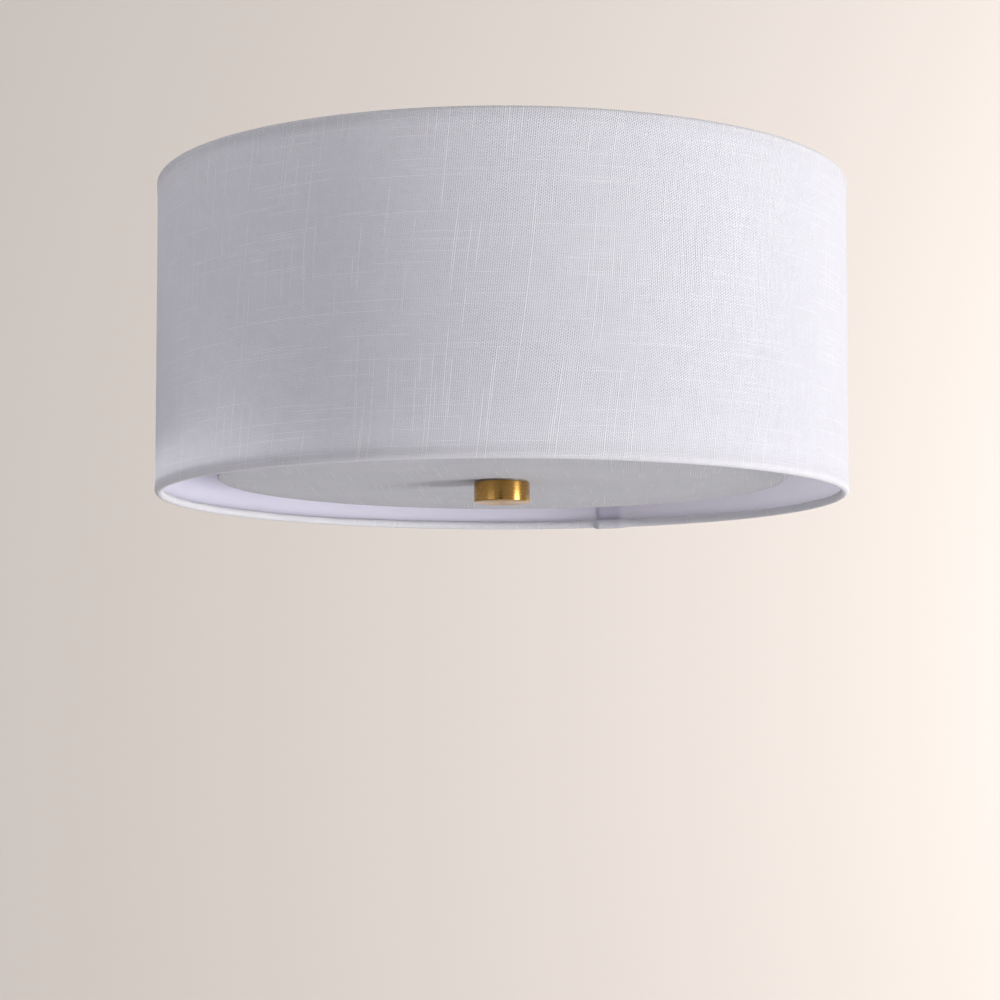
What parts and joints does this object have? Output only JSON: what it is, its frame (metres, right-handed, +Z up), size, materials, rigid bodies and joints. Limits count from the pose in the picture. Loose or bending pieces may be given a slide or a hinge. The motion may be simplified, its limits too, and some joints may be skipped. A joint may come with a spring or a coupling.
{
  "type": "flush mount ceiling light",
  "caption": "Flush mount ceiling light: white linen drum shade, recessed round linen diffuser held by a satin brass finial, crossbar and canopy mount.",
  "frame": {"origin": "middle of the crossbar's top face, in the plane of the ceiling", "axes": "+Z up into the ceiling along the light's axis, +X along the crossbar and the lamps, -Y towards the picture's viewer"},
  "size_m": [0.4063, 0.4064, 0.1886],
  "materials": {
    "linen": "matte",
    "liner_film": "matte",
    "white_enamel": "satin",
    "zinc_steel": "satin",
    "green_zinc": "satin",
    "opal_acrylic": "satin",
    "satin_brass": "satin",
    "contact_brass": "satin",
    "phenolic": "satin",
    "shell_aluminium": "satin",
    "bulb_nickel": "polished",
    "bulb_white": "satin",
    "bulb_opal": "satin",
    "clear_washer": "matte"
  },
  "bodies": {
    "root": {"crossbar": "zinc_steel", "ground_screw": "green_zinc", "centre_nipple": "zinc_steel", "lock_nuts": "zinc_steel", "canopy": "white_enamel", "shade_spider": "white_enamel", "shade_bottom_ring": "white_enamel", "shade_fabric": "linen", "shade_liner": "liner_film", "cluster_body": "white_enamel", "cluster_cover": "white_enamel", "lower_rod": "zinc_steel", "diffuser_stop_nut": "zinc_steel", "holder_nipple_1": "zinc_steel", "holder_cap_1": "phenolic", "holder_body_1": "phenolic", "screw_shell_1": "shell_aluminium", "centre_contact_1": "contact_brass", "holder_nipple_2": "zinc_steel", "holder_cap_2": "phenolic", "holder_body_2": "phenolic", "screw_shell_2": "shell_aluminium", "centre_contact_2": "contact_brass"},
    "diffuser": {"diffuser_washer": "zinc_steel", "diffuser_panel": "opal_acrylic", "diffuser_fabric": "linen"},
    "finial_washer": {"finial_washer": "clear_washer"},
    "finial": {"finial": "satin_brass"},
    "bulb_1_tip": {"bulb_tip_1": "contact_brass"},
    "bulb_1": {"bulb_cap_1": "bulb_nickel", "bulb_housing_1": "bulb_white", "bulb_globe_1": "bulb_opal"},
    "bulb_2_tip": {"bulb_tip_2": "contact_brass"},
    "bulb_2": {"bulb_cap_2": "bulb_nickel", "bulb_housing_2": "bulb_white", "bulb_globe_2": "bulb_opal"}
  },
  "joints": [
    {"name": "diffuser_lower", "type": "slide", "parent": "root", "child": "diffuser", "axis": [0, 0, -1], "range_m": [0, 0.04]},
    {"name": "finial_travel", "type": "slide", "parent": "diffuser", "child": "finial_washer", "axis": [0, 0, -1], "range_m": [0, 0.0076]},
    {"name": "finial_turn", "type": "hinge", "parent": "finial_washer", "child": "finial", "pos_m": [0, 0, -0.1825], "axis": [0, 0, -1], "range_deg": [0, 2700]},
    {"name": "bulb_1_travel", "type": "slide", "parent": "root", "child": "bulb_1_tip", "axis": [1, 0, 0], "range_m": [0, 0.016]},
    {"name": "bulb_1_turn", "type": "hinge", "parent": "bulb_1_tip", "child": "bulb_1", "pos_m": [0.0585, 0, -0.08], "axis": [1, 0, 0], "range_deg": [0, 1584]},
    {"name": "bulb_2_travel", "type": "slide", "parent": "root", "child": "bulb_2_tip", "axis": [-1, 0, 0], "range_m": [0, 0.016]},
    {"name": "bulb_2_turn", "type": "hinge", "parent": "bulb_2_tip", "child": "bulb_2", "pos_m": [-0.0585, 0, -0.08], "axis": [-1, 0, 0], "range_deg": [0, 1584]}
  ],
  "couplings": [
    {"joint": "finial_travel", "follows": "finial_turn", "m_per_rad": 0.00015915},
    {"joint": "bulb_1_travel", "follows": "bulb_1_turn", "m_per_rad": 0.00057751},
    {"joint": "bulb_2_travel", "follows": "bulb_2_turn", "m_per_rad": 0.00057751}
  ]
}
